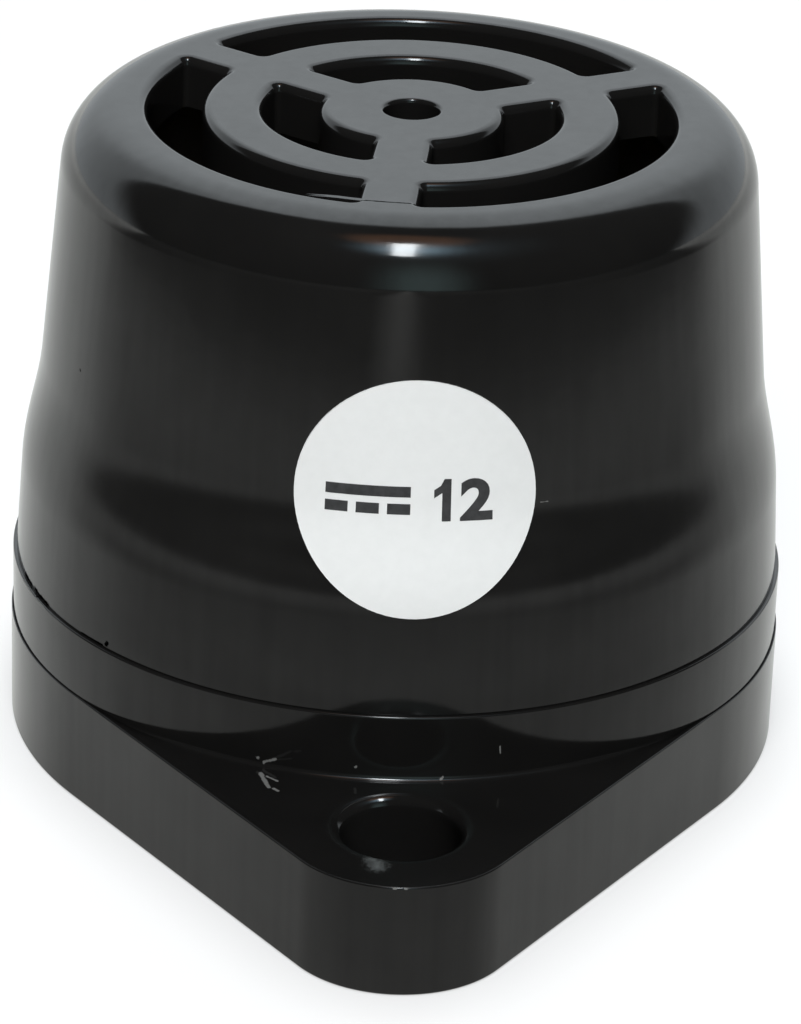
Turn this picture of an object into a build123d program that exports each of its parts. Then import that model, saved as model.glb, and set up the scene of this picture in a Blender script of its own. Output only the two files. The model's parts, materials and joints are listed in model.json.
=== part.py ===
from build123d import *
import os
from math import cos, radians, sin, tan

# Mini piezo alarm sounder: a bell-shaped cap with a grille, glued on a base with two mounting ears, and the
# siren circuit inside. Millimetres, +Z up. The origin is the centre of the mounting face, the ears lie
# along Y and the round label faces -Y.

# ---------------------------------------------------------------- driving dimensions

# Base moulding
plate_radius = 21.6
plate_height = 6.3
plate_edge_chamfer = 0.2
ear_reach = 4.95
ear_radius = 6.3
screw_hole_radius = 3.1
screw_hole_chamfer = 0.4
collar_step = 0.1
collar_height = 3.7
floor_thickness = 2.0
lip_height = 2.4
lip_thickness = 1.3
lip_clearance = 0.1
boss_radius = 2.4
boss_height = 5.0
lead_hole_radius = 2.5
lead_hole_at = (0.0, 9.0)

# Cap moulding: the side runs up a near-upright skirt, in through an S-shaped waist and up a slow taper.
# Each step is how far it comes in on the form below it.
overall_height = 35.7
foot_step = 0.25
skirt_height = 5.2
skirt_step = 0.25
waist_height = 6.4
waist_step = 1.1
crown_step = 1.3
crown_round = 3.6
cap_wall = 1.8
seam_chamfer = 0.2
seat_drop = 11.7
seat_ledge = 1.7

# Grille
rim_width = 4.35
ring_outer_radius = 11.3
ring_inner_radius = 8.05
hub_radius = 5.0
hub_hole_radius = 1.5
spoke_count = 3
spoke_width = 3.15
spoke_angle = 24.0
grille_depth = 2.9

# Round label, wrapped on the cap
label_radius = 6.35
label_thickness = 0.12
label_height = 21.9
label_turn = 1.0
label_band_margin = 1.0

# Piezo diaphragm
disc_clearance = 0.4
disc_thickness = 0.3
ceramic_margin = 5.0
ceramic_thickness = 0.25
adhesive_width = 1.2
adhesive_height = 1.3
solder_spot_radius = 0.9
solder_spot_height = 0.4
brass_spot_angle = 15.0
ceramic_spot_angle = 48.0
ceramic_spot_inset = 1.0

# Circuit board. Parts near its edge lie at an angle and a distance in from the edge.
board_clearance = 0.6
board_thickness = 1.6
leg_width = 0.5
leg_clearance = 0.1
solder_radius = 0.6
solder_sides = 6
solder_height = 1.0
solder_tip_chamfer = 0.3
boss_inset = 4.3
screw_angles = (60.0, 180.0)
screw_radius = 1.1
screw_length = 5.2
screw_clearance = 0.05
screw_head_radius = 2.1
screw_head_height = 1.5
screw_slot_width = 0.5
screw_slot_depth = 0.7

# Step-up transformer: drum core and winding
transformer_angle = 19.1
transformer_inset = 9.24
core_radius = 4.4
core_shaft_radius = 2.0
core_flange = 1.0
core_height = 10.5
winding_gap = 0.3
transformer_pin_circle = 3.0
transformer_pin_angles = (90.0, 210.0, 330.0)

# Driver chip, eight legs
chip_at = (-4.6, -5.2)
chip_length = 9.3
chip_width = 6.4
chip_height = 3.3
chip_stand_off = 0.6
chip_pitch = 2.54
chip_row = 7.62
chip_leg_width = 0.5
chip_leg_thickness = 0.25
chip_notch_radius = 0.8
chip_notch_depth = 0.8

# Transistor
transistor_angle = 94.0
transistor_inset = 4.35
transistor_radius = 2.4
transistor_flat = 1.3
transistor_height = 4.6
transistor_stand_off = 3.0
transistor_pitch = 1.27

# Supply capacitor: sealed can
capacitor_angle = 151.3
capacitor_inset = 7.38
can_radius = 3.15
can_height = 11.0
can_edge_chamfer = 0.4
capacitor_pitch = 2.54

# Timing capacitor: coated ceramic disc standing on edge, broad sides along Y
timing_angle = -19.6
timing_inset = 3.48
timing_radius = 3.0
timing_thickness = 2.4
timing_edge_chamfer = 0.6
timing_stand_off = 1.0
timing_pitch = 2.54

# Axial parts: each has a place and a turn on the board
edge_resistor_angle = 257.2
edge_resistor_inset = 3.64
edge_resistor_turn = 0.0
inner_resistor_places = ((6.0, -6.6, 0.0), (-0.6, 4.9, 90.0))
resistor_radius = 1.15
resistor_length = 6.3
resistor_pitch = 9.0
diode_angle = 127.3
diode_inset = 3.98
diode_turn = 0.0
diode_radius = 1.35
diode_length = 5.2
diode_pitch = 7.6
axial_stand_off = 0.2

# Insulated leads between the disc and the board
lead_radius = 0.5
lead_sides = 8
lead_end_run = 4.5
lead_bend_share = 0.45
lead_pad_height = 0.3
lead_pad_inset = 2.1
brass_pad_angle = 6.0
ceramic_pad_angle = 35.0

# ---------------------------------------------------------------- derived levels and radii

ear_offset = plate_radius + ear_reach
collar_radius = plate_radius - collar_step
foot_radius = collar_radius - foot_step
skirt_radius = foot_radius - skirt_step
waist_radius = skirt_radius - waist_step
crown_radius = waist_radius - crown_step
opening_radius = crown_radius - rim_width

seam_height = plate_height + collar_height
skirt_top = seam_height + skirt_height
waist_top = skirt_top + waist_height
seat_height = overall_height - seat_drop
taper = crown_step / (overall_height - waist_top)
seat_bore_radius = waist_radius - taper * (seat_height - waist_top) - cap_wall
chamber_radius = seat_bore_radius - seat_ledge
foot_bore_radius = foot_radius - cap_wall
bore_draft = (foot_bore_radius - seat_bore_radius) / (seat_height - seam_height)
lip_radius = foot_bore_radius - bore_draft * lip_height - lip_clearance
lip_bore_radius = lip_radius - lip_thickness

disc_radius = seat_bore_radius - disc_clearance
ceramic_radius = disc_radius - ceramic_margin
disc_bottom = seat_height - disc_thickness
ceramic_bottom = disc_bottom - ceramic_thickness

board_radius = lip_bore_radius - board_clearance
board_bottom = floor_thickness + boss_height
board_top = board_bottom + board_thickness
leg_hole_width = leg_width + 2 * leg_clearance

transformer_bottom = board_top
timing_centre = board_top + timing_stand_off + timing_radius


def around(centre, radius, angles):
    """Points on a circle about centre, at the given angles in degrees."""
    return [
        (centre[0] + radius * cos(radians(angle)), centre[1] + radius * sin(radians(angle)))
        for angle in angles
    ]


def in_from_edge(angle, inset):
    """The point at an angle, set in from the board's edge."""
    return ((board_radius - inset) * cos(radians(angle)), (board_radius - inset) * sin(radians(angle)))


def along(place, distance):
    """The point at a signed distance from an axial part's middle, along its turn."""
    x, y, turn = place
    return (x + distance * cos(radians(turn)), y + distance * sin(radians(turn)))


def draw_bell_side(inset, top):
    """Draw the cap's side, moved inwards by inset, from the seam up to top. Returns the two end points."""
    top_radius = waist_radius - taper * (top - waist_top)
    skirt = Line((foot_radius - inset, seam_height), (skirt_radius - inset, skirt_top))
    side = Line((waist_radius - inset, waist_top), (top_radius - inset, top))
    Spline(skirt @ 1, side @ 0, tangents=(skirt % 1, side % 0))
    return skirt @ 0, side @ 1


# Where the parts lie on the board
transformer_at = in_from_edge(transformer_angle, transformer_inset)
transistor_at = in_from_edge(transistor_angle, transistor_inset)
capacitor_at = in_from_edge(capacitor_angle, capacitor_inset)
timing_at = in_from_edge(timing_angle, timing_inset)
edge_resistor_at = in_from_edge(edge_resistor_angle, edge_resistor_inset)
resistor_places = [(*edge_resistor_at, edge_resistor_turn), *inner_resistor_places]
diode_place = (*in_from_edge(diode_angle, diode_inset), diode_turn)

# Where the leads are soldered to the disc and to the board
brass_spot_radius = (ceramic_radius + disc_radius - adhesive_width) / 2
ceramic_spot_radius = ceramic_radius - ceramic_spot_inset
(brass_lead_disc_at,) = around((0, 0), brass_spot_radius, [brass_spot_angle])
(ceramic_lead_disc_at,) = around((0, 0), ceramic_spot_radius, [ceramic_spot_angle])
lead_pads = around((0, 0), board_radius - lead_pad_inset, [brass_pad_angle, ceramic_pad_angle])

# Where the legs pass through the board
screw_spots = around((0, 0), lip_bore_radius - boss_inset, screw_angles)
transformer_spots = around(transformer_at, transformer_pin_circle, transformer_pin_angles)
chip_columns = [chip_at[0] + (column - 1.5) * chip_pitch for column in range(4)]
chip_spots = [(x, chip_at[1] + side * chip_row / 2) for x in chip_columns for side in (-1, 1)]
transistor_spots = [(transistor_at[0] + step * transistor_pitch, transistor_at[1]) for step in (-1, 0, 1)]
capacitor_spots = [(capacitor_at[0] + side * capacitor_pitch / 2, capacitor_at[1]) for side in (-1, 1)]
timing_spots = [(timing_at[0], timing_at[1] + side * timing_pitch / 2) for side in (-1, 1)]
resistor_spots = [along(place, side * resistor_pitch / 2) for place in resistor_places for side in (-1, 1)]
diode_spots = [along(diode_place, side * diode_pitch / 2) for side in (-1, 1)]
leg_spots = (
    transformer_spots + chip_spots + transistor_spots + capacitor_spots + timing_spots + resistor_spots
    + diode_spots
)

# ---------------------------------------------------------------- housing

# Base: tangent plate with two ears, collar, register lip, and the hollow with its screw bosses
with BuildPart() as base_housing:
    with BuildSketch():
        Circle(plate_radius)
        with Locations((0, ear_offset), (0, -ear_offset)):
            Circle(ear_radius)
        make_hull()
    extrude(amount=plate_height)
    chamfer(base_housing.faces().sort_by(Axis.Z)[-1].outer_wire().edges(), plate_edge_chamfer)

    with BuildSketch(Plane.XY.offset(plate_height)):
        Circle(collar_radius)
    extrude(amount=collar_height)
    with BuildSketch(Plane.XY.offset(seam_height)):
        Circle(lip_radius)
    extrude(amount=lip_height)

    with BuildSketch(Plane.XY.offset(floor_thickness)):
        Circle(lip_bore_radius)
    extrude(amount=seam_height + lip_height - floor_thickness, mode=Mode.SUBTRACT)

    with BuildSketch(Plane.XY.offset(floor_thickness)):
        with Locations(*screw_spots):
            Circle(boss_radius)
    extrude(amount=boss_height)
    with BuildSketch(Plane.XY.offset(board_bottom)):
        with Locations(*screw_spots):
            Circle(screw_radius + screw_clearance)
    extrude(amount=-boss_height, mode=Mode.SUBTRACT)

    with BuildSketch():
        with Locations(lead_hole_at):
            Circle(lead_hole_radius)
        with Locations((0, ear_offset), (0, -ear_offset)):
            Circle(screw_hole_radius)
    extrude(amount=plate_height, mode=Mode.SUBTRACT)
    ear_mouths = (
        base_housing.edges()
        .filter_by(GeomType.CIRCLE)
        .filter_by_position(Axis.Z, plate_height, plate_height)
        .filter_by(lambda edge: edge.radius == screw_hole_radius)
    )
    chamfer(ear_mouths, screw_hole_chamfer)

# Cap: revolved bell, stepped bore for the diaphragm, and the grille cut through its top
with BuildPart() as cap_housing:
    with BuildSketch(Plane.XZ) as bell_section:
        with BuildLine():
            bell_foot, bell_crown = draw_bell_side(0, overall_height)
            Polyline(bell_crown, (0, overall_height), (0, seam_height), bell_foot)
        make_face()
        fillet(bell_section.vertices().sort_by_distance(bell_crown)[0], crown_round)
        chamfer(bell_section.vertices().sort_by_distance(bell_foot)[0], seam_chamfer)
    revolve(axis=Axis.Z)

    with BuildSketch(Plane.XZ):
        with BuildLine():
            Polyline(
                (0, seam_height),
                (foot_bore_radius, seam_height),
                (seat_bore_radius, seat_height),
                (0, seat_height),
                close=True,
            )
        make_face()
    revolve(axis=Axis.Z, mode=Mode.SUBTRACT)
    with BuildSketch(Plane.XY.offset(seat_height)):
        Circle(chamber_radius)
    extrude(amount=seat_drop - grille_depth, mode=Mode.SUBTRACT)

    with BuildSketch(Plane.XY.offset(overall_height)):
        Circle(opening_radius)
        Circle(ring_outer_radius, mode=Mode.SUBTRACT)
        Circle(ring_inner_radius)
        Circle(hub_radius, mode=Mode.SUBTRACT)
        with PolarLocations(opening_radius / 2, spoke_count, start_angle=spoke_angle):
            Rectangle(opening_radius + spoke_width, spoke_width, mode=Mode.SUBTRACT)
        Circle(hub_hole_radius)
    extrude(amount=-grille_depth, mode=Mode.SUBTRACT)

# Label: a thin round patch of the bell's own outside
label_half_width = waist_radius * sin(label_radius / waist_radius)
band_top = label_height + label_radius + label_band_margin
with BuildPart() as rating_label:
    with BuildSketch(Plane.XZ):
        with BuildLine():
            outer_foot, outer_top = draw_bell_side(-label_thickness, band_top)
            Polyline(outer_top, (0, band_top), (0, seam_height), outer_foot)
        make_face()
        with BuildLine():
            inner_foot, inner_top = draw_bell_side(0, band_top)
            Polyline(inner_top, (0, band_top), (0, seam_height), inner_foot)
        make_face(mode=Mode.SUBTRACT)
    revolve(axis=Axis.Z)
    with BuildSketch(Plane.XZ.rotated((0, 0, label_turn))):
        with Locations((0, label_height)):
            Ellipse(label_half_width, label_radius)
    extrude(amount=plate_radius, mode=Mode.INTERSECT)

# ---------------------------------------------------------------- diaphragm

with BuildPart() as piezo_disc:
    with BuildSketch(Plane.XY.offset(disc_bottom)):
        Circle(disc_radius)
    extrude(amount=disc_thickness)

with BuildPart() as piezo_ceramic:
    with BuildSketch(Plane.XY.offset(ceramic_bottom)):
        Circle(ceramic_radius)
    extrude(amount=ceramic_thickness)

# Soft bead under the diaphragm's edge, against the cap's wall
with BuildPart() as disc_adhesive:
    with BuildSketch(Plane.XY.offset(disc_bottom)):
        Circle(seat_bore_radius)
        Circle(disc_radius - adhesive_width, mode=Mode.SUBTRACT)
    extrude(amount=-adhesive_height)

# Solder spots: one on the brass rim, one on the ceramic
with BuildPart() as disc_solder:
    with BuildSketch(Plane.XY.offset(disc_bottom)):
        with Locations(brass_lead_disc_at):
            RegularPolygon(solder_spot_radius, lead_sides)
    extrude(amount=-solder_spot_height)
    with BuildSketch(Plane.XY.offset(ceramic_bottom)):
        with Locations(ceramic_lead_disc_at):
            RegularPolygon(solder_spot_radius, lead_sides)
    extrude(amount=-solder_spot_height)

# ---------------------------------------------------------------- circuit board and its fastening

with BuildPart() as circuit_board:
    with BuildSketch(Plane.XY.offset(board_bottom)):
        Circle(board_radius)
        with Locations(*screw_spots):
            Circle(screw_radius + leg_clearance, mode=Mode.SUBTRACT)
        with Locations(*leg_spots):
            Rectangle(leg_hole_width, leg_hole_width, mode=Mode.SUBTRACT)
    extrude(amount=board_thickness)

with BuildPart() as board_screws:
    with BuildSketch(Plane.XY.offset(board_top)):
        with Locations(*screw_spots):
            Circle(screw_radius)
    extrude(amount=-screw_length)
    with BuildSketch(Plane.XY.offset(board_top)):
        with Locations(*screw_spots):
            Circle(screw_head_radius)
    extrude(amount=screw_head_height)
    with BuildSketch(Plane.XY.offset(board_top + screw_head_height)):
        with Locations(*screw_spots):
            Rectangle(2 * screw_head_radius, screw_slot_width)
    extrude(amount=-screw_slot_depth, mode=Mode.SUBTRACT)

# Solder: a blunt cone over each leg's end under the board, and a dot on the board for each lead
with BuildPart() as solder_joints:
    with BuildSketch(Plane.XY.offset(board_bottom)):
        with Locations(*leg_spots):
            RegularPolygon(solder_radius, solder_sides)
    extrude(amount=-solder_height)
    tip_height = board_bottom - solder_height
    solder_tips = solder_joints.edges().filter_by_position(Axis.Z, tip_height, tip_height)
    chamfer(solder_tips, solder_tip_chamfer)
    with BuildSketch(Plane.XY.offset(board_top)):
        with Locations(*lead_pads):
            RegularPolygon(solder_spot_radius, lead_sides)
    extrude(amount=lead_pad_height)

# ---------------------------------------------------------------- transformer

with BuildPart() as transformer_core:
    with BuildSketch(Plane.XY.offset(transformer_bottom)):
        with Locations(transformer_at):
            Circle(core_radius)
    extrude(amount=core_height)
    with BuildSketch(Plane.XY.offset(transformer_bottom + core_flange)):
        with Locations(transformer_at):
            Circle(core_radius)
            Circle(core_shaft_radius, mode=Mode.SUBTRACT)
    extrude(amount=core_height - 2 * core_flange, mode=Mode.SUBTRACT)

with BuildPart() as transformer_winding:
    with BuildSketch(Plane.XY.offset(transformer_bottom + core_flange)):
        with Locations(transformer_at):
            Circle(core_radius - winding_gap)
            Circle(core_shaft_radius, mode=Mode.SUBTRACT)
    extrude(amount=core_height - 2 * core_flange)

with BuildPart() as transformer_pins:
    with BuildSketch(Plane.XY.offset(board_bottom)):
        with Locations(*transformer_spots):
            Rectangle(leg_width, leg_width)
    extrude(amount=transformer_bottom - board_bottom)

# ---------------------------------------------------------------- driver chip

chip_bottom = board_top + chip_stand_off
chip_leg_level = chip_bottom + chip_height / 2

with BuildPart() as driver_chip:
    with BuildSketch(Plane.XY.offset(chip_bottom)):
        with Locations(chip_at):
            Rectangle(chip_length, chip_width)
    extrude(amount=chip_height)
    with BuildSketch(Plane.XY.offset(chip_bottom + chip_height)):
        with Locations((chip_at[0] - chip_length / 2, chip_at[1])):
            Circle(chip_notch_radius)
    extrude(amount=-chip_notch_depth, mode=Mode.SUBTRACT)

with BuildPart() as chip_legs:
    leg_planes = [Plane((x, chip_at[1], 0), x_dir=(0, 1, 0), z_dir=(1, 0, 0)) for x in chip_columns]
    with BuildSketch(*leg_planes):
        with BuildLine():
            Polyline(
                (chip_width / 2, chip_leg_level),
                (chip_row / 2 + chip_leg_thickness / 2, chip_leg_level),
                (chip_row / 2 + chip_leg_thickness / 2, board_bottom),
                (chip_row / 2 - chip_leg_thickness / 2, board_bottom),
                (chip_row / 2 - chip_leg_thickness / 2, chip_leg_level - chip_leg_thickness),
                (chip_width / 2, chip_leg_level - chip_leg_thickness),
                close=True,
            )
        make_face()
        mirror(about=Plane.YZ)
    extrude(amount=chip_leg_width / 2, both=True)

# ---------------------------------------------------------------- transistor

with BuildPart() as transistor:
    with BuildSketch(Plane.XY.offset(board_top + transistor_stand_off)):
        with Locations(transistor_at):
            Circle(transistor_radius)
        with Locations((transistor_at[0], transistor_at[1] - transistor_flat - transistor_radius)):
            Rectangle(2 * transistor_radius, 2 * transistor_radius, mode=Mode.SUBTRACT)
    extrude(amount=transistor_height)

with BuildPart() as transistor_legs:
    with BuildSketch(Plane.XY.offset(board_bottom)):
        with Locations(*transistor_spots):
            Rectangle(leg_width, leg_width)
    extrude(amount=board_thickness + transistor_stand_off)

# ---------------------------------------------------------------- capacitors

with BuildPart() as supply_capacitor:
    with BuildSketch(Plane.XY.offset(board_top)):
        with Locations(capacitor_at):
            Circle(can_radius)
    extrude(amount=can_height)
    chamfer(supply_capacitor.faces().sort_by(Axis.Z)[-1].edges(), can_edge_chamfer)

with BuildPart() as capacitor_legs:
    with BuildSketch(Plane.XY.offset(board_bottom)):
        with Locations(*capacitor_spots):
            Rectangle(leg_width, leg_width)
    extrude(amount=board_thickness)

with BuildPart() as timing_capacitor:
    with BuildSketch(Plane.YZ.offset(timing_at[0] - timing_thickness / 2)):
        with Locations((timing_at[1], timing_centre)):
            Circle(timing_radius)
    extrude(amount=timing_thickness)
    chamfer(timing_capacitor.edges().filter_by(GeomType.CIRCLE), timing_edge_chamfer)

# The legs reach up to the disc's underside at their inner sides
timing_leg_reach = timing_pitch / 2 - leg_width / 2
timing_leg_top = timing_centre - (timing_radius**2 - timing_leg_reach**2) ** 0.5
with BuildPart() as timing_capacitor_legs:
    with BuildSketch(Plane.XY.offset(board_bottom)):
        with Locations(*timing_spots):
            Rectangle(leg_width, leg_width)
    extrude(amount=timing_leg_top - board_bottom)

# ---------------------------------------------------------------- axial parts


def axial_plane(place, distance):
    """A plane square to an axial part, at a signed distance from its middle, level with the board's top."""
    direction = (cos(radians(place[2])), sin(radians(place[2])), 0)
    across = (-direction[1], direction[0], 0)
    return Plane((*along(place, distance), board_top), x_dir=across, z_dir=direction)


def side_plane(place):
    """The upright plane through an axial part's length, its x along the part."""
    direction = (cos(radians(place[2])), sin(radians(place[2])), 0)
    return Plane((place[0], place[1], 0), x_dir=direction, z_dir=(direction[1], -direction[0], 0))


def draw_formed_leg(length, pitch, level):
    """Draw one leg from the body's end, out and straight down through the board."""
    Polyline(
        (length / 2, level + leg_width / 2),
        (pitch / 2 + leg_width / 2, level + leg_width / 2),
        (pitch / 2 + leg_width / 2, board_bottom),
        (pitch / 2 - leg_width / 2, board_bottom),
        (pitch / 2 - leg_width / 2, level - leg_width / 2),
        (length / 2, level - leg_width / 2),
        close=True,
    )


with BuildPart() as resistors:
    with BuildSketch(*[axial_plane(place, -resistor_length / 2) for place in resistor_places]):
        with Locations((0, axial_stand_off + resistor_radius)):
            Circle(resistor_radius)
    extrude(amount=resistor_length)

with BuildPart() as resistor_legs:
    with BuildSketch(*[side_plane(place) for place in resistor_places]):
        with BuildLine():
            draw_formed_leg(resistor_length, resistor_pitch, board_top + axial_stand_off + resistor_radius)
        make_face()
        mirror(about=Plane.YZ)
    extrude(amount=leg_width / 2, both=True)

with BuildPart() as diode:
    with BuildSketch(axial_plane(diode_place, -diode_length / 2)):
        with Locations((0, axial_stand_off + diode_radius)):
            Circle(diode_radius)
    extrude(amount=diode_length)

with BuildPart() as diode_legs:
    with BuildSketch(side_plane(diode_place)):
        with BuildLine():
            draw_formed_leg(diode_length, diode_pitch, board_top + axial_stand_off + diode_radius)
        make_face()
        mirror(about=Plane.YZ)
    extrude(amount=leg_width / 2, both=True)

# ---------------------------------------------------------------- leads from the disc to the board


def draw_lead(disc_at, disc_level, board_at):
    """Draw a lead's route: straight down from the disc, across, and straight down on its pad."""
    pad_level = board_top + lead_pad_height
    start = Vector(*disc_at, disc_level)
    first = start - Vector(0, 0, lead_end_run)
    end = Vector(*board_at, pad_level)
    last = end + Vector(0, 0, lead_end_run)
    turn = radians((last - first).get_angle(Vector(0, 0, -1)))
    shorter_run = min(lead_end_run, (last - first).length)
    return FilletPolyline(start, first, last, end, radius=lead_bend_share * shorter_run / tan(turn / 2))


with BuildPart() as piezo_lead_brass:
    with BuildLine() as brass_route:
        draw_lead(brass_lead_disc_at, disc_bottom - solder_spot_height, lead_pads[0])
    with BuildSketch(Plane(brass_route.line @ 0, z_dir=brass_route.line % 0)):
        RegularPolygon(lead_radius, lead_sides)
    sweep(path=brass_route.line)

with BuildPart() as piezo_lead_ceramic:
    with BuildLine() as ceramic_route:
        draw_lead(ceramic_lead_disc_at, ceramic_bottom - solder_spot_height, lead_pads[1])
    with BuildSketch(Plane(ceramic_route.line @ 0, z_dir=ceramic_route.line % 0)):
        RegularPolygon(lead_radius, lead_sides)
    sweep(path=ceramic_route.line)

# ---------------------------------------------------------------- export

pieces = {
    "base_housing": base_housing,
    "cap_housing": cap_housing,
    "rating_label": rating_label,
    "piezo_disc": piezo_disc,
    "piezo_ceramic": piezo_ceramic,
    "disc_adhesive": disc_adhesive,
    "disc_solder": disc_solder,
    "circuit_board": circuit_board,
    "board_screws": board_screws,
    "solder_joints": solder_joints,
    "transformer_core": transformer_core,
    "transformer_winding": transformer_winding,
    "transformer_pins": transformer_pins,
    "driver_chip": driver_chip,
    "chip_legs": chip_legs,
    "transistor": transistor,
    "transistor_legs": transistor_legs,
    "supply_capacitor": supply_capacitor,
    "capacitor_legs": capacitor_legs,
    "timing_capacitor": timing_capacitor,
    "timing_capacitor_legs": timing_capacitor_legs,
    "resistors": resistors,
    "resistor_legs": resistor_legs,
    "diode": diode,
    "diode_legs": diode_legs,
    "piezo_lead_brass": piezo_lead_brass,
    "piezo_lead_ceramic": piezo_lead_ceramic,
}

os.makedirs("parts", exist_ok=True)
for name, piece in pieces.items():
    piece.part.label = name
    export_step(piece.part, f"parts/{name}.step")
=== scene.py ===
import bpy
import bmesh
import json
import numpy as np
from math import atan, atan2, cos, degrees, hypot, pi, radians, sin, sqrt
from mathutils import Matrix, Vector
from mathutils.geometry import delaunay_2d_cdt


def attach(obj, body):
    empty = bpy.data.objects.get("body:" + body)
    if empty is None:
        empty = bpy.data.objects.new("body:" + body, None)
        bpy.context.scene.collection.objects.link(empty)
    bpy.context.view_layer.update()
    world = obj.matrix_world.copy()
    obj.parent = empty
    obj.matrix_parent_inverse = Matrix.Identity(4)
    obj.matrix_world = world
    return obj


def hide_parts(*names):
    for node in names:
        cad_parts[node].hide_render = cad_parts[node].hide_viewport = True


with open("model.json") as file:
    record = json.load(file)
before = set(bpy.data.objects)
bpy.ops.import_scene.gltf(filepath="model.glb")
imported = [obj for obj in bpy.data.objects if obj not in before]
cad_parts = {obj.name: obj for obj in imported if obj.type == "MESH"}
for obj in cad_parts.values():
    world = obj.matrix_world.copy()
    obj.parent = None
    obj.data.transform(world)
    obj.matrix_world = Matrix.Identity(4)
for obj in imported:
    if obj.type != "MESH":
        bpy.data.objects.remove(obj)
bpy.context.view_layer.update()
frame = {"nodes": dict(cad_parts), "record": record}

# ================================================================ sizes, in millimetres

MM = 0.001

# Cap
SEAM_Z = 10.0
FOOT_R = 21.3
FOOT_OPEN = 0.07
FOOT_TOP_Z, FOOT_CURVE = 11.2, 0.03
# Degrees off the ears where the foot is straight, and over which it gets there
FOOT_DRAWN_IN = (58, 16)
SKIRT_Z, SKIRT_R = 15.2, 21.0
WAIST_Z, WAIST_R = 21.6, 19.9
TOP_Z, CROWN_R = 35.9, 18.6
CROWN_ROUND = 3.6
WAIST_HANDLE = 7.2
CAP_WALL = 1.8
SEAT_Z = 24.0
SEAT_LEDGE = 1.7
FOOT_ROUND = 0.1
TAPER = (WAIST_R - CROWN_R) / (TOP_Z - WAIST_Z)
SKIRT_TILT = atan((FOOT_R - SKIRT_R) / (SKIRT_Z - SEAM_Z))
SEAT_BORE_R = WAIST_R - TAPER * (SEAT_Z - WAIST_Z) - CAP_WALL
FOOT_BORE_R = 19.45
CHAMBER_R = SEAT_BORE_R - SEAT_LEDGE

# Grille
OPENING_R = 14.25
RING_OUTER_R, RING_INNER_R = 11.3, 8.05
HUB_R, HUB_HOLE_R = 5.0, 1.5
SPOKES = 3
SPOKE_WIDTH = 3.15
SPOKE_ANGLE = 24.0
GRILLE_DEPTH = 2.9
DISH = 0.12
SLOT_ROUND = 0.55
HUB_HOLE_ROUND = 0.25
SLOT_CORNER = 0.3
SLOT_STEP = 0.35

# Sliver of flash: how fast it widens and parts from the wall along its run, and how deep its edges lie
FLASH_TURNS = (-113.5, -101.0)
FLASH_WIDTH, FLASH_GAP = 0.3, 0.14
FLASH_TIP, FLASH_WIDENING, FLASH_PARTING = 0.15, 1.6, 3.0
FLASH_DROPS, FLASH_THICKNESS = (0.06, 0.04), 0.07

# Base
PLATE_R, PLATE_Z = 21.6, 6.3
PLATE_TOP_ROUND, PLATE_ROUND_SHARE = (0.05, 0.1), 0.45
PLATE_FOOT_ROUND = 0.15
EAR_Y, EAR_R = 26.55, 6.3
EAR_HOLE_R = 3.1
# Rim profile, as (off the hole's wall, above the plate)
EAR_HOLE_RIM = ((1.4, 0.0), (1.2, 0.01), (1.0, 0.025), (0.8, 0.03), (0.62, 0.02), (0.45, -0.02), (0.3, -0.1),
                (0.18, -0.2), (0.08, -0.33), (0.02, -0.48), (0.0, -0.65))
EAR_HOLE_LEAN = -19.0
COLLAR_R = 21.5
COLLAR_TOP_ROUND = 0.1
# Groove profile, as (off the collar, above the plate), with the facing of its two halves
COLLAR_GROOVE = ((0.04, 0.0), (0.035, -0.05), (0.02, -0.12), (0.0, -0.12), (0.0, -0.02), (0.0, 0.08))
GROOVE_FACINGS = ((-0.8, 0.6), (1.0, 0.0))
# Degrees off the ears where the fillet ends, and over which it fades
COLLAR_FILLET, FILLET_REACH = 0.25, (48, 20)
FLOOR_Z = 2.0
LIP_Z, LIP_R, LIP_BORE_R = 12.4, 19.081, 17.781
BOSS_R, BOSS_Z, BOSS_HOLE_R = 2.4, 7.0, 1.15
BOSS_CIRCLE = LIP_BORE_R - 4.3
BOSS_ANGLES = (60.0, 180.0)
LEAD_HOLE = (0.0, 9.0)
LEAD_HOLE_R = 2.5

# Label
LABEL_Z, LABEL_THICKNESS = 21.9, 0.12
LABEL_TURN = 1.0
PRINT_HEIGHT = 2.3
PRINT_STRETCH = 1.12
PRINT_LOW = -1.2
PRINT_LIFT = 0.012
SYMBOL_LEFT, SYMBOL_WIDTH = -4.65, 4.4
SYMBOL_BAR, SYMBOL_DASH, DASH_SHARE = (1.28, 1.86), (0.34, 0.92), 0.27
FIGURE_LEFT, FIGURE_GAP, FIGURE_WEIGHT = 0.95, 1.35, 0.15
FIGURE_ONE = ((0.0, 1.25), (0.0, 1.7), (0.34, 1.93), (0.52, 2.3),
              (0.88, 2.3), (0.88, 0.0), (0.42, 0.0), (0.42, 1.54))
PRINT_EDGE = 0.35

# Segments of the round forms and steps of the curved ones
SEGMENTS = 288
EAR_HOLE_SEGMENTS, BOSS_SEGMENTS, SMALL_HOLE_SEGMENTS = 96, 48, 64
FOOT_STEPS, SKIRT_STEPS, WAIST_STEPS, SIDE_STEPS, CROWN_STEPS = 8, 4, 20, 7, 18
FOOT_ROUND_STEPS, SLOT_CORNER_STEPS, FLASH_STEPS = 4, 6, 30
PLATE_ARC_STEPS, EAR_ARC_STEPS, PLATE_LINE_STEPS = 56, 48, 14
PLATE_FOOT_STEPS, PLATE_TOP_STEPS, COLLAR_TOP_STEPS = 3, 6, 4


# ================================================================ mesh helpers

def new_object(name, data):
    """An object that holds the data, in the scene."""
    piece = bpy.data.objects.new(name, data)
    bpy.context.scene.collection.objects.link(piece)
    return piece


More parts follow.
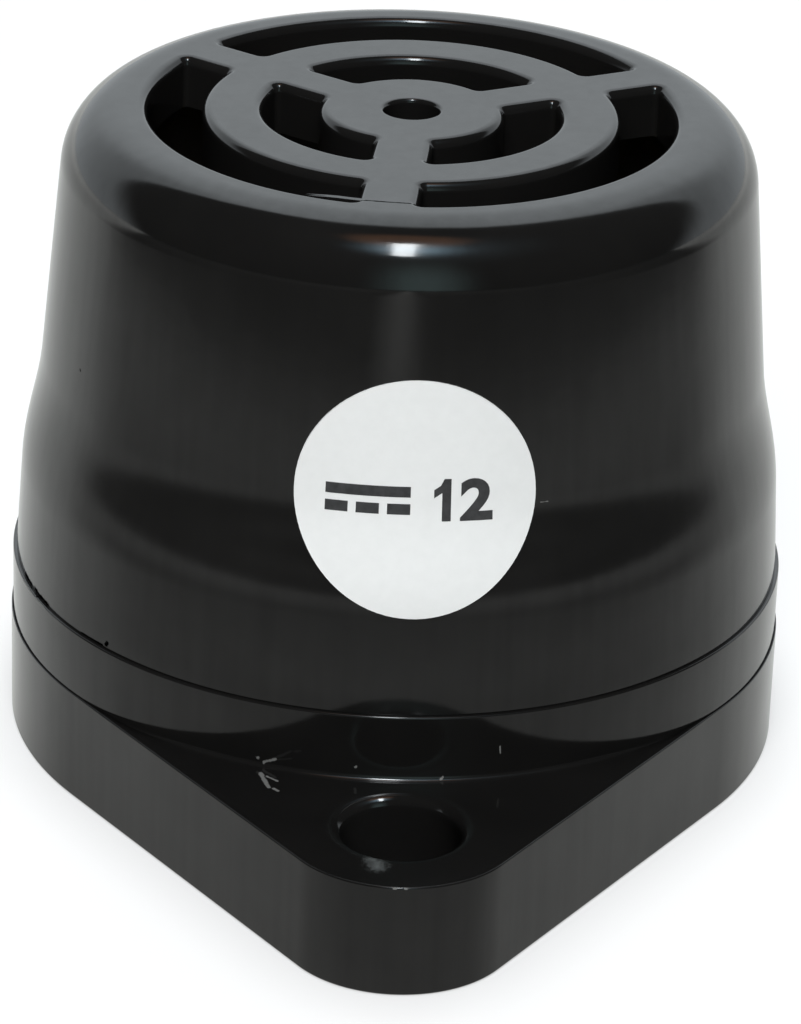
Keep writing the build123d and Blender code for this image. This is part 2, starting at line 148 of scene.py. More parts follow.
class Skin:
    """Vertices with their own normals, joined by strips between closed loops and by flat faces with holes."""

    def __init__(self):
        self.points, self.normals, self.faces = [], [], []

    def loop(self, pairs):
        """Add one closed loop of (point, normal) pairs. Returns its vertex numbers."""
        first = len(self.points)
        for point, normal in pairs:
            self.points.append(Vector(point))
            self.normals.append(Vector(normal).normalized())
        return list(range(first, len(self.points)))

    def level_ring(self, radius, height, up, centre=(0.0, 0.0), count=SEGMENTS):
        """Add a level circle whose normals point up, or down where up is -1."""
        return self.loop([(p, (0, 0, up)) for p, _ in circle(radius, height, 0.0, centre, count)])

    def wall_ring(self, radius, height, out, tilt=0.0, centre=(0.0, 0.0), count=SEGMENTS):
        """Add a level circle whose normals point outwards, or inwards where out is -1."""
        return self.loop([(p, out * Vector(n)) for p, n in circle(radius, height, tilt, centre, count)])

    def level_edge(self, outline, height, up):
        """Add a hole's outline whose normals point up, or down where up is -1."""
        return self.loop([((x, y, height), (0, 0, up)) for x, y, _, _ in outline])

    def strip(self, loops):
        """Join each loop to the next one with quads."""
        for low, high in zip(loops, loops[1:]):
            count = len(low)
            for i in range(count):
                j = (i + 1) % count
                self.faces.append([low[i], low[j], high[j], high[i]])

    def flat(self, loops):
        """Fill the level area between an outer loop and the loops of its holes."""
        numbers = [number for loop in loops for number in loop]
        edges, first = [], 0
        for loop in loops:
            count = len(loop)
            edges += [(first + i, first + (i + 1) % count) for i in range(count)]
            first += count
        flat_points = [self.points[n].xy for n in numbers]
        triangles = delaunay_2d_cdt(flat_points, edges, [], 0, 1e-7)[2]
        corners = np.array(flat_points)
        ends = corners[np.array(edges)]
        middles = corners[np.array(triangles)].mean(axis=1)
        (x0, y0), (x1, y1) = ends[:, 0].T, ends[:, 1].T
        x, y = middles[:, :1], middles[:, 1:]
        crossing = (y0 > y) != (y1 > y)
        rise = np.where(y1 == y0, 1.0, y1 - y0)
        inside = (crossing & (x < x0 + (y - y0) * (x1 - x0) / rise)).sum(axis=1) % 2 == 1
        for triangle, kept in zip(triangles, inside):
            if kept:
                self.faces.append([numbers[corner] for corner in triangle])

    def build(self, name):
        """Make the object. Each face is turned to agree with its vertices' normals."""
        for face in self.faces:
            corners = [self.points[n] for n in face]
            facing = Vector()
            for a, b in zip(corners[1:], corners[2:]):
                facing += (a - corners[0]).cross(b - corners[0])
            if facing.dot(sum((self.normals[n] for n in face), Vector())) < 0:
                face.reverse()
        mesh = bpy.data.meshes.new(name)
        mesh.from_pydata([point * MM for point in self.points], [], self.faces)
        mesh.polygons.foreach_set("use_smooth", [True] * len(mesh.polygons))
        mesh.normals_split_custom_set_from_vertices([tuple(normal) for normal in self.normals])
        mesh.update()
        return new_object(name, mesh)


def circle(radius, height, tilt=0.0, centre=(0.0, 0.0), count=SEGMENTS):
    """A level circle whose normals point outwards, tilted up by tilt radians."""
    pairs = []
    for i in range(count):
        turn = 2 * pi * i / count
        x, y = cos(turn), sin(turn)
        point = (centre[0] + radius * x, centre[1] + radius * y, height)
        pairs.append((point, (x * cos(tilt), y * cos(tilt), sin(tilt))))
    return pairs


def shifted(outline, offset, height, tilt):
    """A flat outline of (x, y, nx, ny), moved out by offset, its normals tilted up by tilt radians."""
    return [
        ((x + nx * offset, y + ny * offset, height), (nx * cos(tilt), ny * cos(tilt), sin(tilt)))
        for x, y, nx, ny in outline
    ]


def hole_outline(centre, radius, count):
    """The outline of a round hole, its normals pointing into the material."""
    return [
        (centre[0] + radius * cos(t), centre[1] + radius * sin(t), cos(t), sin(t))
        for t in (2 * pi * i / count for i in range(count))
    ]


def mouth(outline, height, rounding, dish=0.0, steps=6):
    """Loops that round a hole's mouth, from the face down. The face sinks by dish at its middle."""
    loops = []
    for step in range(steps + 1):
        a = pi / 2 * step / steps
        offset = rounding * (1 - sin(a))
        pairs = []
        for x, y, nx, ny in outline:
            px, py = x + nx * offset, y + ny * offset
            z = height - rounding * (1 - cos(a)) - dish * max(0.0, 1 - hypot(px, py) / OPENING_R)
            lean = -dish / OPENING_R / hypot(px, py) if step == 0 else 0.0
            pairs.append(((px, py, z), (-nx * sin(a) + lean * px, -ny * sin(a) + lean * py, cos(a))))
        loops.append(pairs)
    return loops


def raised_rim(outline, height, profile, lean):
    """Loops of a raised rim round a hole, from the face inward and down.

    lean turns the way the rim faces, in degrees.
    """
    loops = []
    turned_x, turned_y = cos(radians(lean)), sin(radians(lean))
    for step, (offset, up) in enumerate(profile):
        before, behind = profile[max(step - 1, 0)], profile[min(step + 1, len(profile) - 1)]
        along = Vector((before[0] - behind[0], before[1] - behind[1])).normalized()
        pairs = []
        for x, y, nx, ny in outline:
            facing_x, facing_y = nx * turned_x - ny * turned_y, nx * turned_y + ny * turned_x
            normal = (0, 0, 1) if step == 0 else (-along.y * facing_x, -along.y * facing_y, along.x)
            pairs.append(((x + nx * offset, y + ny * offset, height + up), normal))
        loops.append(pairs)
    return loops


def wall(outline, height):
    """A loop of a hole's upright wall, its normals pointing into the hole."""
    return [((x, y, height), (-nx, -ny, 0.0)) for x, y, nx, ny in outline]


# ================================================================ cap

def near_ears(turn, edge, span):
    """1 where a turn faces an ear, falling to 0 at edge degrees off it, over span degrees."""
    off_ears = degrees(atan2(abs(cos(turn)), abs(sin(turn))))
    return max(0.0, min(1.0, (edge - off_ears) / span))


def skirt_radius(z):
    """The skirt's radius at a height."""
    return FOOT_R + (SKIRT_R - FOOT_R) * (z - SEAM_Z) / (SKIRT_Z - SEAM_Z)


def cap_foot(turn):
    """The cap's foot at a turn, upward, as (radius, height, tilt).

    It is drawn in above the ears and straight beside them.
    """
    curve = near_ears(turn, *FOOT_DRAWN_IN) * FOOT_CURVE
    low_z = SEAM_Z + FOOT_OPEN
    rows = []
    for step in range(FOOT_STEPS + 1):
        z = low_z + (FOOT_TOP_Z - low_z) * step / FOOT_STEPS
        down = FOOT_TOP_Z - z
        rows.append((skirt_radius(z) - curve * down**2 / 2, z, SKIRT_TILT - curve * down))
    edge_r, edge_z, edge_tilt = rows[0]
    bottom = []
    for step in range(FOOT_ROUND_STEPS):
        a = -pi / 2 + (pi / 2 + edge_tilt) * step / FOOT_ROUND_STEPS
        bottom.append((edge_r - FOOT_ROUND * (cos(edge_tilt) - cos(a)),
                       edge_z - FOOT_ROUND * (sin(edge_tilt) - sin(a)), a))
    return bottom + rows


def bell_side():
    """The cap's outside above its foot, up to the flat top: a list of (radius, height, tilt)."""
    side_tilt = atan(TAPER)
    rows = []
    # Skirt
    for step in range(1, SKIRT_STEPS + 1):
        z = FOOT_TOP_Z + (SKIRT_Z - FOOT_TOP_Z) * step / SKIRT_STEPS
        rows.append((skirt_radius(z), z, SKIRT_TILT))
    # Waist
    for step in range(1, WAIST_STEPS + 1):
        rows.append(waist_point(step / WAIST_STEPS))
    # Taper, up to the crown's round
    centre_r = CROWN_R + TAPER * CROWN_ROUND - CROWN_ROUND / cos(side_tilt)
    centre_z = TOP_Z - CROWN_ROUND
    end_z = centre_z + CROWN_ROUND * sin(side_tilt)
    for step in range(1, SIDE_STEPS + 1):
        z = WAIST_Z + (end_z - WAIST_Z) * step / SIDE_STEPS
        rows.append((WAIST_R - TAPER * (z - WAIST_Z), z, side_tilt))
    # Crown
    for step in range(1, CROWN_STEPS + 1):
        a = side_tilt + (pi / 2 - side_tilt) * step / CROWN_STEPS
        rows.append((centre_r + CROWN_ROUND * cos(a), centre_z + CROWN_ROUND * sin(a), a))
    return rows


def waist_point(t):
    """A point of the waist's curve, as (radius, height, tilt)."""
    skirt = Vector((SKIRT_R - FOOT_R, SKIRT_Z - SEAM_Z)).normalized() * WAIST_HANDLE
    side = Vector((-TAPER, 1.0)).normalized() * WAIST_HANDLE
    start, end = Vector((SKIRT_R, SKIRT_Z)), Vector((WAIST_R, WAIST_Z))
    point = ((2 * t**3 - 3 * t**2 + 1) * start + (t**3 - 2 * t**2 + t) * skirt
             + (3 * t**2 - 2 * t**3) * end + (t**3 - t**2) * side)
    slope = ((6 * t**2 - 6 * t) * start + (3 * t**2 - 4 * t + 1) * skirt
             + (6 * t - 6 * t**2) * end + (3 * t**2 - 2 * t) * side)
    return point.x, point.y, atan(-slope.x / slope.y)


def after(angle, start):
    """The angle, by whole turns, in the turn that follows start."""
    return start + (angle - start) % (2 * pi)


def slot_outline(inner, outer, start_spoke, end_spoke):
    """One slot between two spokes, as (x, y, nx, ny), its normals pointing into the material."""
    outline = []

    def corner_centre(radius, side, spoke):
        across = side * (SPOKE_WIDTH / 2 + SLOT_CORNER)
        along = sqrt(radius**2 - across**2)
        return (along * cos(spoke) - across * sin(spoke), along * sin(spoke) + across * cos(spoke))

    def arc(centre, radius, start, end, count, sign=1.0):
        for i in range(count + 1):
            a = start + (end - start) * i / count
            x, y = cos(a), sin(a)
            outline.append((centre[0] + radius * x, centre[1] + radius * y, sign * x, sign * y))

    def direction(point):
        return atan2(point[1], point[0])

    a1, a2 = radians(start_spoke), radians(end_spoke)
    far_start = corner_centre(outer - SLOT_CORNER, 1, a1)
    far_end = corner_centre(outer - SLOT_CORNER, -1, a2)
    near_end = corner_centre(inner + SLOT_CORNER, -1, a2)
    near_start = corner_centre(inner + SLOT_CORNER, 1, a1)
    count = round(outer * (a2 - a1) / SLOT_STEP)

    begin = direction(far_start)
    end = after(direction(far_end), begin)
    arc((0.0, 0.0), outer, begin, end, count)
    side = after(a2 + pi / 2, end)
    arc(far_end, SLOT_CORNER, end, side, SLOT_CORNER_STEPS)
    inward = after(direction(near_end) + pi, side)
    arc(near_end, SLOT_CORNER, side, inward, SLOT_CORNER_STEPS)
    inner_end = direction(near_end)
    inner_start = inner_end - (inner_end - direction(near_start)) % (2 * pi)
    arc((0.0, 0.0), inner, inner_end, inner_start, round(count * inner / outer), -1.0)
    inward = direction(near_start) + pi
    side = after(a1 - pi / 2, inward)
    arc(near_start, SLOT_CORNER, inward, side, SLOT_CORNER_STEPS)
    arc(far_start, SLOT_CORNER, side, after(begin, side), SLOT_CORNER_STEPS)
    return without_doubles(outline)


def without_doubles(outline):
    """The outline without points that repeat the one before."""
    kept = []
    for entry in outline:
        if not kept or hypot(entry[0] - kept[-1][0], entry[1] - kept[-1][1]) > 1e-4:
            kept.append(entry)
    if hypot(kept[0][0] - kept[-1][0], kept[0][1] - kept[-1][1]) < 1e-4:
        kept.pop()
    return kept


def make_cap():
    """The bell: its outside, the grille with rounded slots, the sound chamber and the bore."""
    skin = Skin()
    feet = [(2 * pi * i / SEGMENTS, cap_foot(2 * pi * i / SEGMENTS)) for i in range(SEGMENTS)]
    side = []
    for step in range(len(feet[0][1])):
        pairs = []
        for turn, foot in feet:
            r, z, tilt = foot[step]
            x, y = cos(turn), sin(turn)
            pairs.append(((r * x, r * y, z), (x * cos(tilt), y * cos(tilt), sin(tilt))))
        side.append(skin.loop(pairs))
    side += [skin.loop(circle(r, z, tilt)) for r, z, tilt in bell_side()]
    skin.strip(side)

    outlines = []
    for spoke in range(SPOKES):
        start = SPOKE_ANGLE + 360.0 / SPOKES * spoke
        for inner, outer in ((RING_OUTER_R, OPENING_R), (HUB_R, RING_INNER_R)):
            outlines.append(slot_outline(inner, outer, start, start + 360.0 / SPOKES))
    outlines.append(hole_outline((0.0, 0.0), HUB_HOLE_R, SMALL_HOLE_SEGMENTS))

    ceiling = TOP_Z - GRILLE_DEPTH
    top_holes, ceiling_holes = [], []
    for outline in outlines:
        rounding = HUB_HOLE_ROUND if outline is outlines[-1] else SLOT_ROUND
        loops = [skin.loop(pairs) for pairs in mouth(outline, TOP_Z, rounding, DISH)]
        skin.strip(loops + [skin.loop(wall(outline, ceiling))])
        top_holes.append(loops[0])
        ceiling_holes.append(skin.level_edge(outline, ceiling, -1))
    skin.flat([side[-1]] + top_holes)
    skin.flat([skin.level_ring(CHAMBER_R, ceiling, -1)] + ceiling_holes)

    # Inside: chamber wall, seat and tapered bore, then the foot's underside
    bore_tilt = atan((FOOT_BORE_R - SEAT_BORE_R) / (SEAT_Z - SEAM_Z))
    skin.strip([skin.wall_ring(CHAMBER_R, z, -1) for z in (ceiling, SEAT_Z)])
    skin.strip([skin.level_ring(radius, SEAT_Z, -1) for radius in (CHAMBER_R, SEAT_BORE_R)])
    skin.strip([skin.wall_ring(SEAT_BORE_R, SEAT_Z, -1, bore_tilt),
                skin.wall_ring(FOOT_BORE_R, SEAM_Z, -1, bore_tilt)])
    underside = []
    for turn, foot in feet:
        r, z, _ = foot[0]
        underside.append(((r * cos(turn), r * sin(turn), z), (0, 0, -1)))
    skin.strip([skin.level_ring(FOOT_BORE_R, SEAM_Z, -1), skin.loop(underside)])
    add_flash(skin)
    return skin.build("cap_shell")


def add_flash(skin):
    """A thin sliver of moulding flash that stands off the opening's wall beside the front spoke."""
    inner_z, outer_z = (TOP_Z - drop for drop in FLASH_DROPS)
    for lower, up in ((FLASH_THICKNESS, -1.0), (0.0, 1.0)):
        inner, outer = [], []
        for i in range(FLASH_STEPS + 1):
            t = i / FLASH_STEPS
            turn = radians(FLASH_TURNS[0] + (FLASH_TURNS[1] - FLASH_TURNS[0]) * t)
            width = FLASH_WIDTH * min(1.0, FLASH_TIP + FLASH_WIDENING * t)
            far = OPENING_R - FLASH_GAP * min(1.0, FLASH_PARTING * t)
            inner.append(((far - width) * cos(turn), (far - width) * sin(turn), inner_z - lower))
            outer.append((far * cos(turn), far * sin(turn), outer_z - lower))
        loops = [skin.loop([(point, (0, 0, up)) for point in row]) for row in (inner, outer)]
        for i in range(FLASH_STEPS):
            skin.faces.append([loops[0][i], loops[0][i + 1], loops[1][i + 1], loops[1][i]])


# ================================================================ base

def plate_outline():
    """The plate's outline: two ears joined to the round middle by tangent lines, as (x, y, nx, ny)."""
    wrap = degrees(atan(sqrt(EAR_Y**2 - (PLATE_R - EAR_R)**2) / (PLATE_R - EAR_R)))
    arcs = (
        (0.0, PLATE_R, -90 + wrap, 90 - wrap, PLATE_ARC_STEPS),
        (EAR_Y, EAR_R, 90 - wrap, 90 + wrap, EAR_ARC_STEPS),
        (0.0, PLATE_R, 90 + wrap, 270 - wrap, PLATE_ARC_STEPS),
        (-EAR_Y, EAR_R, 270 - wrap, 270 + wrap, EAR_ARC_STEPS),
    )
    outline = []
    for y, radius, start, end, count in arcs:
        ring = []
        for i in range(count + 1):
            a = radians(start + (end - start) * i / count)
            ring.append((radius * cos(a), y + radius * sin(a), cos(a), sin(a)))
        if outline:
            outline += line_between(outline[-1], ring[0])
        outline += ring
    outline += line_between(outline[-1], outline[0])
    return without_doubles(outline)


def line_between(start, end):
    """Points along a straight run of the outline, without its ends."""
    return [
        (start[0] + (end[0] - start[0]) * i / PLATE_LINE_STEPS,
         start[1] + (end[1] - start[1]) * i / PLATE_LINE_STEPS, start[2], start[3])
        for i in range(1, PLATE_LINE_STEPS)
    ]


def collar_foot(turn):
    """The collar's foot at a turn, as (outward, upward, normal).

    It is a round on the ears and a fine groove beside them.
    """
    share = near_ears(turn, *FILLET_REACH)
    steps = len(COLLAR_GROOVE) - 1
    profile = []
    for step, (out, up) in enumerate(COLLAR_GROOVE):
        a = pi / 2 * (1 - step / steps)
        fillet = Vector((COLLAR_FILLET * (1 - cos(a)), COLLAR_FILLET * (1 - sin(a))))
        foot = Vector((out, up)).lerp(fillet, share)
        groove_facing = GROOVE_FACINGS[0 if step < steps / 2 else 1]
        facing = Vector(groove_facing).lerp(Vector((cos(a), sin(a))), share)
        profile.append((foot.x, foot.y, facing))
    return profile


def plate_round(x, y):
    """The round of the plate's top edge, small where the collar is near."""
    low, high = PLATE_TOP_ROUND
    return max(low, min(high, PLATE_ROUND_SHARE * (hypot(x, y) - COLLAR_R)))


def make_base():
    """The plate with its ears and holes, the collar, the register lip and the hollow."""
    skin = Skin()
    outline = plate_outline()

    # Plate side, from the foot's small round to the top's
    side = []
    for step in range(PLATE_FOOT_STEPS + 1):
        a = -pi / 2 * (1 - step / PLATE_FOOT_STEPS)
        offset = -PLATE_FOOT_ROUND * (1 - cos(a))
        side.append(skin.loop(shifted(outline, offset, PLATE_FOOT_ROUND * (1 + sin(a)), a)))
    for step in range(PLATE_TOP_STEPS + 1):
        a = pi / 2 * step / PLATE_TOP_STEPS
        pairs = []
        for x, y, nx, ny in outline:
            rounding = plate_round(x, y)
            offset, z = -rounding * (1 - cos(a)), PLATE_Z - rounding * (1 - sin(a))
            pairs.append(((x + nx * offset, y + ny * offset, z), (nx * cos(a), ny * cos(a), sin(a))))
        side.append(skin.loop(pairs))
    skin.strip(side)

    # Ear holes
    top_holes, foot_holes = [], []
    for ear_y in (EAR_Y, -EAR_Y):
        hole = hole_outline((0.0, ear_y), EAR_HOLE_R, EAR_HOLE_SEGMENTS)
        loops = [skin.loop(pairs) for pairs in raised_rim(hole, PLATE_Z, EAR_HOLE_RIM, EAR_HOLE_LEAN)]
        skin.strip(loops + [skin.loop(wall(hole, 0.0))])
        top_holes.append(loops[0])
        foot_holes.append(skin.level_edge(hole, 0.0, -1))

    # Collar, with its foot and the seam's edge
    turns = [2 * pi * i / SEGMENTS for i in range(SEGMENTS)]
    feet = [collar_foot(turn) for turn in turns]
    collar = []
    for step in range(len(COLLAR_GROOVE)):
        pairs = []
        for turn, foot in zip(turns, feet):
            out, up, facing = foot[step]
            r, x, y = COLLAR_R + out, cos(turn), sin(turn)
            pairs.append(((r * x, r * y, PLATE_Z + up), (x * facing.x, y * facing.x, facing.y)))
        collar.append(skin.loop(pairs))
    for step in range(COLLAR_TOP_STEPS + 1):
        a = pi / 2 * step / COLLAR_TOP_STEPS
        r = COLLAR_R - COLLAR_TOP_ROUND * (1 - cos(a))
        collar.append(skin.loop(circle(r, SEAM_Z - COLLAR_TOP_ROUND * (1 - sin(a)), a)))
    skin.strip(collar)
    skin.flat([side[-1], collar[0]] + top_holes)

    # Seam face, register lip and hollow
    skin.strip([collar[-1], skin.level_ring(LIP_R, SEAM_Z, 1)])
    skin.strip([skin.wall_ring(LIP_R, z, 1) for z in (SEAM_Z, LIP_Z)])
    skin.strip([skin.level_ring(radius, LIP_Z, 1) for radius in (LIP_R, LIP_BORE_R)])
    skin.strip([skin.wall_ring(LIP_BORE_R, z, -1) for z in (LIP_Z, FLOOR_Z)])

    # Screw bosses on the floor
    floor_holes = []
    for angle in BOSS_ANGLES:
        spot = ((BOSS_CIRCLE * cos(radians(angle)), BOSS_CIRCLE * sin(radians(angle))), BOSS_SEGMENTS)
        floor_holes.append(skin.level_ring(BOSS_R, FLOOR_Z, 1, *spot))
        skin.strip([skin.wall_ring(BOSS_R, z, 1, 0.0, *spot) for z in (FLOOR_Z, BOSS_Z)])
        skin.strip([skin.level_ring(radius, BOSS_Z, 1, *spot) for radius in (BOSS_R, BOSS_HOLE_R)])
        skin.strip([skin.wall_ring(BOSS_HOLE_R, z, -1, 0.0, *spot) for z in (BOSS_Z, FLOOR_Z)])
        skin.flat([skin.level_ring(BOSS_HOLE_R, FLOOR_Z, 1, *spot)])
    lead = (LEAD_HOLE, SMALL_HOLE_SEGMENTS)
    lead_floor = skin.level_ring(LEAD_HOLE_R, FLOOR_Z, 1, *lead)
    skin.strip([skin.wall_ring(LEAD_HOLE_R, z, -1, 0.0, *lead) for z in (FLOOR_Z, 0.0)])
    skin.flat([skin.level_ring(LIP_BORE_R, FLOOR_Z, 1), lead_floor] + floor_holes)

    # Underside
    lead_foot = skin.level_ring(LEAD_HOLE_R, 0.0, -1, *lead)
    skin.flat([side[0], lead_foot] + foot_holes)
    return skin.build("base_shell")


# ================================================================ label print

def bell_radius(z):
    """The cap's outside radius at a height."""
    if z <= SKIRT_Z:
        return skirt_radius(z)
    if z >= WAIST_Z:
        return WAIST_R - TAPER * (z - WAIST_Z)
    low, high = 0.0, 1.0
    for _ in range(24):
        middle = (low + high) / 2
        if waist_point(middle)[1] < z:
            low = middle
        else:
            high = middle
    return waist_point(low)[0]


def on_label(across, up, lift):
    """The point on the label at millimetres across and up from its middle."""
    z = LABEL_Z + up
    r = bell_radius(z) + LABEL_THICKNESS + lift
    a = radians(-90 + LABEL_TURN) + across / WAIST_R
    return (r * cos(a) * MM, r * sin(a) * MM, z * MM)


def draw_figure(body, height, weight):
    """The flat mesh of a figure in the built-in face, height millimetres high, made bolder by weight."""
    text = bpy.data.curves.new("figure", "FONT")
    text.body = body
    text.size = 4.0
    text.offset = weight
    text.resolution_u = 6
    figure = new_object("figure", text)
    bpy.context.view_layer.update()
    shape = bpy.data.meshes.new_from_object(figure.evaluated_get(bpy.context.evaluated_depsgraph_get()))
    bpy.data.objects.remove(figure)
    left, low = (min(v.co[axis] for v in shape.vertices) for axis in (0, 1))
    scale = height / (max(v.co.y for v in shape.vertices) - low)
    for v in shape.vertices:
        v.co = ((v.co.x - left) * scale * PRINT_STRETCH, (v.co.y - low) * scale, 0.0)
    return shape


def make_print():
    """The printed mark: the direct-current symbol and the figure 12, wrapped on the label."""
    flat = bmesh.new()
    flat.from_mesh(draw_figure("2", PRINT_HEIGHT, FIGURE_WEIGHT))
    bmesh.ops.translate(flat, verts=flat.verts, vec=(FIGURE_LEFT + FIGURE_GAP, PRINT_LOW, 0.0))
    flat.faces.new([flat.verts.new((FIGURE_LEFT + x, PRINT_LOW + y, 0)) for x, y in reversed(FIGURE_ONE)])
    bars = [(SYMBOL_LEFT, SYMBOL_LEFT + SYMBOL_WIDTH, *SYMBOL_BAR)]
    dash = SYMBOL_WIDTH * DASH_SHARE
    for k in range(3):
        left = SYMBOL_LEFT + k * (SYMBOL_WIDTH - dash) / 2
        bars.append((left, left + dash, *SYMBOL_DASH))
    for x0, x1, y0, y1 in bars:
        corners = [flat.verts.new((x, PRINT_LOW + y, 0)) for x, y in ((x0, y0), (x1, y0), (x1, y1), (x0, y1))]
        flat.faces.new(corners)
    bmesh.ops.triangulate(flat, faces=flat.faces)
    for _ in range(5):
        long_edges = [edge for edge in flat.edges if edge.calc_length() > PRINT_EDGE]
        if not long_edges:
            break
        bmesh.ops.subdivide_edges(flat, edges=long_edges, cuts=1, use_grid_fill=False)
        bmesh.ops.triangulate(flat, faces=flat.faces)
    for v in flat.verts:
        v.co = on_label(v.co.x, v.co.y, PRINT_LIFT)
    for face in flat.faces:
        face.smooth = True
        if face.normal.dot(face.calc_center_median()) < 0:
            face.normal_flip()
    mesh = bpy.data.meshes.new("label_print")
    flat.to_mesh(mesh)
    flat.free()
    return new_object("label_print", mesh)


# ================================================================ materials

class Net:
    """The nodes of a material or a world. Inputs are given by name or number, as an output or a value."""

    def __init__(self, tree):
        self.tree = tree

    def set(self, node, inputs):
        """Link or set a node's inputs."""
        for key, value in inputs.items():
            if hasattr(value, "is_linked"):
                self.tree.links.new(value, node.inputs[key])
            else:
                node.inputs[key].default_value = value

    def add(self, kind, inputs, **settings):
        """A new node with its inputs."""
        node = self.tree.nodes.new("ShaderNode" + kind)
        for key, value in settings.items():
            setattr(node, key, value)
        self.set(node, inputs)
        return node

    def math(self, operation, *values):
        """A math node over outputs and numbers."""
        return self.add("Math", dict(enumerate(values)), operation=operation).outputs["Value"]

    def vector_math(self, operation, *values):
        """A vector math node over outputs and vectors. It gives a number where the operation does."""
        keys = (0, "Scale") if operation == "SCALE" else range(3)
        node = self.add("VectorMath", dict(zip(keys, values)), operation=operation)
        return node.outputs["Value" if operation in ("DISTANCE", "DOT_PRODUCT", "LENGTH") else "Vector"]

    def distance(self, value, other):
        """How far one value is from another."""
        return self.math("ABSOLUTE", self.math("SUBTRACT", value, other))

    def noise(self, coordinates, scale, detail=4.0, roughness=0.55):
        """A noise texture over coordinates, scale in waves per metre."""
        return self.add("TexNoise", {"Vector": coordinates, "Scale": scale, "Detail": detail,
                                     "Roughness": roughness}).outputs["Fac"]

    def spread(self, value, low, high, out_low, out_high, passage="LINEAR"):
        """A value's range low to high spread over out_low to out_high."""
        return self.add("MapRange", {"Value": value, "From Min": low, "From Max": high, "To Min": out_low,
                                     "To Max": out_high}, interpolation_type=passage).outputs["Result"]

    def smooth(self, value, low, high):
        """0 below low, 1 above high, with a soft passage between; falls instead where low is over high."""
        if low > high:
            return self.spread(value, high, low, 1.0, 0.0, "SMOOTHSTEP")
        return self.spread(value, low, high, 0.0, 1.0, "SMOOTHSTEP")

    def ramp(self, value, stops):
        """A colour ramp through (position, colour) stops."""
        node = self.add("ValToRGB", {"Fac": value})
        elements = node.color_ramp.elements
        while len(elements) < len(stops):
            elements.new(0.5)
        for element, (position, colour) in zip(elements, stops):
            element.position = position
            element.color = (*colour, 1.0)
        return node.outputs["Color"]

    def bump(self, height, strength, distance, below=None):
        """A bump node over a height, on top of another bump's normal."""
        inputs = {"Strength": strength, "Distance": distance, "Height": height}
        if below is not None:
            inputs["Normal"] = below
        return self.add("Bump", inputs).outputs["Normal"]

    def most(self, values):
        """The greatest of several masks."""
        total = values[0]
        for value in values[1:]:
            total = self.math("MAXIMUM", total, value)
        return total


def new_material(name):
    """A material with its shader. Returns the material, its net, its shader and its object coordinates."""
    material = bpy.data.materials.new(name)
    material.use_nodes = True
    net = Net(material.node_tree)
    return material, net, net.tree.nodes["Principled BSDF"], net.add("TexCoord", {}).outputs["Object"]


def plain_material(name, dark, light, grain, rough, metallic=0.0, grain_depth=0.00002):
    """A material mottled from a dark to a light colour, with varied roughness and fine grain."""
    material, net, shader, coordinates = new_material(name)
    mottle = net.noise(coordinates, grain)
    uneven = net.noise(coordinates, grain * 2.3, 3.0)
    fine = net.noise(coordinates, grain * 6.0, 2.0)
    net.set(shader, {
        "Base Color": net.ramp(mottle, ((0.3, dark), (0.7, light))),
        "Roughness": net.spread(uneven, 0.3, 0.7, rough - ROUGH_SPREAD, rough + ROUGH_SPREAD),
        "Normal": net.bump(fine, 0.3, grain_depth),
        "Metallic": metallic,
    })
    return material


def at(turn, radius, height):
    """The point at a turn in degrees, a radius and a height, in millimetres."""
    return (radius * cos(radians(turn)), radius * sin(radians(turn)), height)


# Small marks on the housing, painted shade and painted glints among them, each from one point to another,
# with its half width, in millimetres
DARK_SPECKS_AND_PAINTED_SHADE = (
    # Painted shade: black, without reflection, where the seam's gaps lie in shadow
    (at(-164.4, 21.35, 10.14), at(-160.6, 21.35, 10.12), 0.18),
    (at(-159.0, 21.35, 10.18), at(-157.2, 21.35, 10.1), 0.2),
    (at(-157.0, 21.35, 10.12), at(-153.4, 21.35, 10.12), 0.17),
    # A thin dark line along the seam, a dark chip above it, and a speck on the side
    (at(-143.4, 21.3, 10.1), at(-138.4, 21.28, 10.12), 0.08),
    (at(-137.6, 21.26, 10.26), at(-137.4, 21.26, 10.34), 0.2),
    (at(-152.0, 19.68, 23.94), at(-152.1, 19.68, 24.0), 0.08),
    # Painted shadow: a dark line where the front spoke's end meets the rim's edge
    (at(-103.2, 14.2, 35.9), at(-96.0, 14.16, 35.9), 0.09),
    (at(-96.0, 14.16, 35.9), at(-89.0, 14.26, 35.9), 0.08),
)
